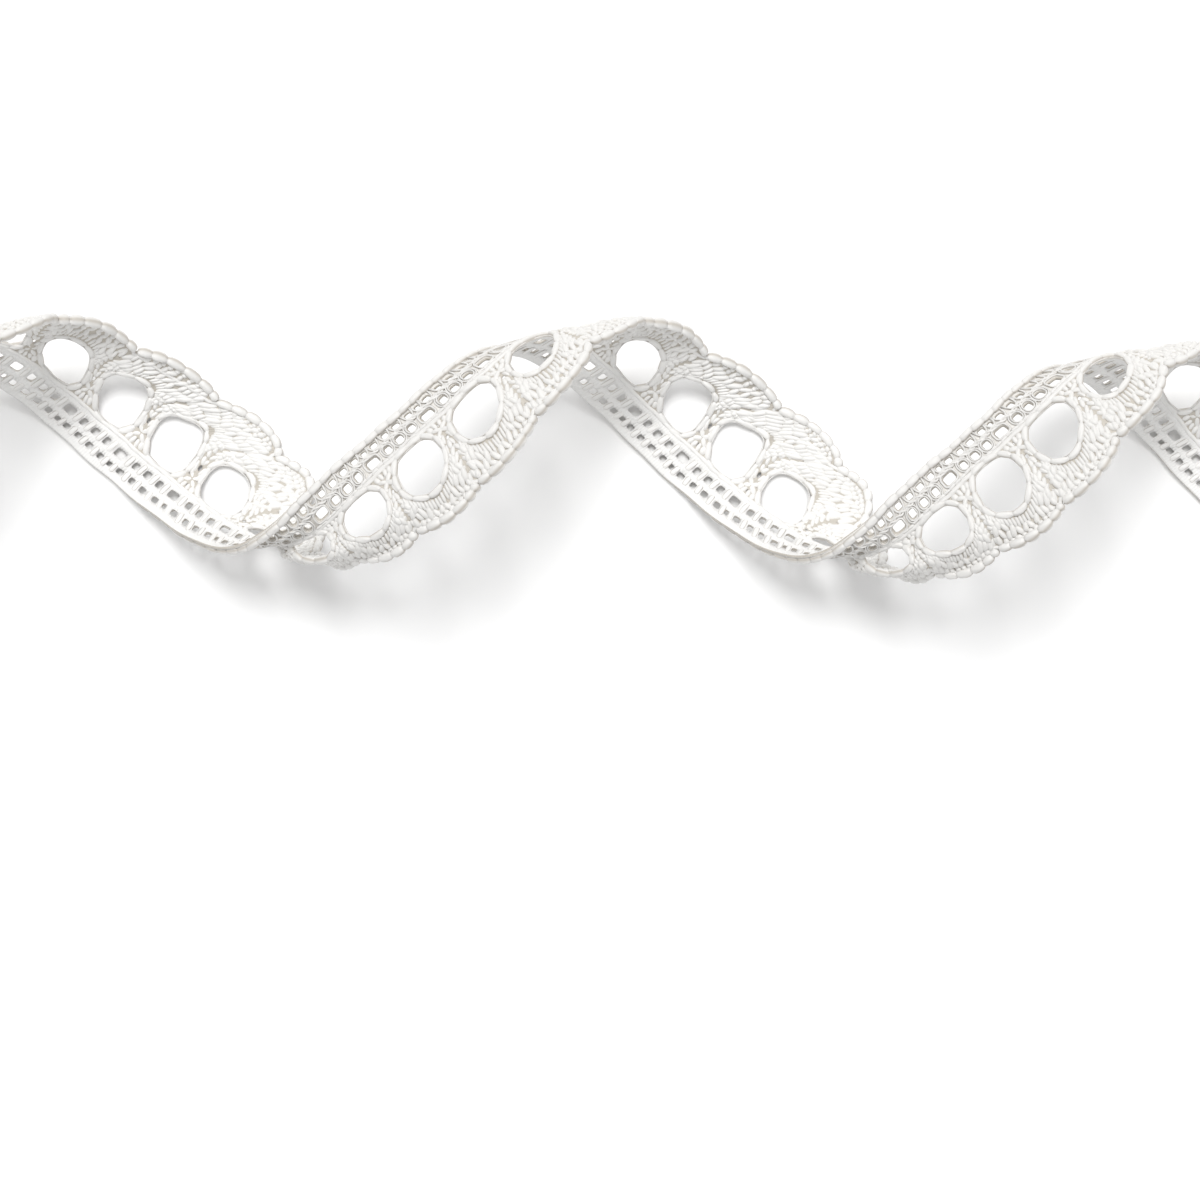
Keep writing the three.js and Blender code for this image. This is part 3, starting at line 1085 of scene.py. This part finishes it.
print("modelling the stitches")
leafStitch = modelStitch("leafStitch", [(-0.9, -0.8, 1.25), (0.8, 0.9, 1.05)])
plumpLink = modelStitch("plumpLink", [(-0.9, -0.8, 1.3), (0.8, 0.9, 1.3),
                                      (-0.6, -0.4, 1.08), (0.4, 0.6, 1.08)])
cordLink = modelStitch("cordLink", [(-0.9, -0.8, 1.56), (0.8, 0.9, 1.56),
                                    (-0.6, -0.4, 1.11), (0.4, 0.6, 1.11)])

print("laying the lace")
plainThread = threadLook("plainThread")
groundLook = clothLook("groundCloth")

stitchPieces = [
    edgeCordThreads(cordLink).make("edge_cord", plainThread),
    headingCords().make("heading_cords", plainThread),
    headingRings().make("heading_rings", plainThread),
    beadedCordThreads(cordLink).make("beaded_cord", plainThread),
    openingCords(plumpLink).make("opening_cords", plainThread),
    postThreads(leafStitch).make("post_stitches", plainThread),
    fanThreads(leafStitch).make("fan_stitches", plainThread),
    rimThreads(plumpLink).make("rim_cord", plainThread),
    backTapes(cordLink).make("back_tapes", plainThread),
]
groundPiece = groundThreads().make("ground_cloth", groundLook)

camera = {
    "aboveMiddle": 0.6178,
    "middleX": -0.00153,
    "middleY": 0.00051,
    "lens": 100,
    "shiftUp": -0.1278,
}


def makeCamera():
    data = bpy.data.cameras.new("camera")
    data.lens = camera["lens"]
    data.sensor_width = 36
    data.shift_y = camera["shiftUp"]
    data.clip_end = 10
    view = bpy.data.objects.new("camera", data)
    view.location = (camera["middleX"], camera["middleY"], camera["aboveMiddle"])
    bpy.context.scene.collection.objects.link(view)
    bpy.context.scene.camera = view


studio = {
    "floorSize": 6.0,
    "floorColour": (0.97, 0.97, 0.97, 1),
    "lightTowards": (0.05, -0.52, -1.0),
    "lightSpread": 24,  # degrees
    "lightStrength": 2.1,
    "skyStrength": 0.62,
}


def makeStudio():
    deselectAll()
    bpy.ops.mesh.primitive_plane_add(size=studio["floorSize"])
    floor = bpy.context.object
    floor.name = "floor"
    look = Look("paleFloor")
    inputs = {"Base Color": studio["floorColour"], "Roughness": 0.9, "Specular IOR Level": 0.1}
    floor.data.materials.append(look.finish(look.node("ShaderNodeBsdfPrincipled", None, inputs)))
    data = bpy.data.lights.new("softbox", "SUN")
    data.angle = math.radians(studio["lightSpread"])
    data.energy = studio["lightStrength"]
    softbox = bpy.data.objects.new("softbox", data)
    softbox.rotation_euler = Vector(studio["lightTowards"]).to_track_quat("-Z", "Y").to_euler()
    bpy.context.scene.collection.objects.link(softbox)
    sky = bpy.data.worlds.new("sky")
    sky.use_nodes = True
    sky.node_tree.nodes["Background"].inputs["Color"].default_value = (1, 1, 1, 1)
    sky.node_tree.nodes["Background"].inputs["Strength"].default_value = studio["skyStrength"]
    bpy.context.scene.world = sky
    bpy.context.scene.view_settings.view_transform = "Standard"


print("camera and studio")
makeCamera()
makeStudio()
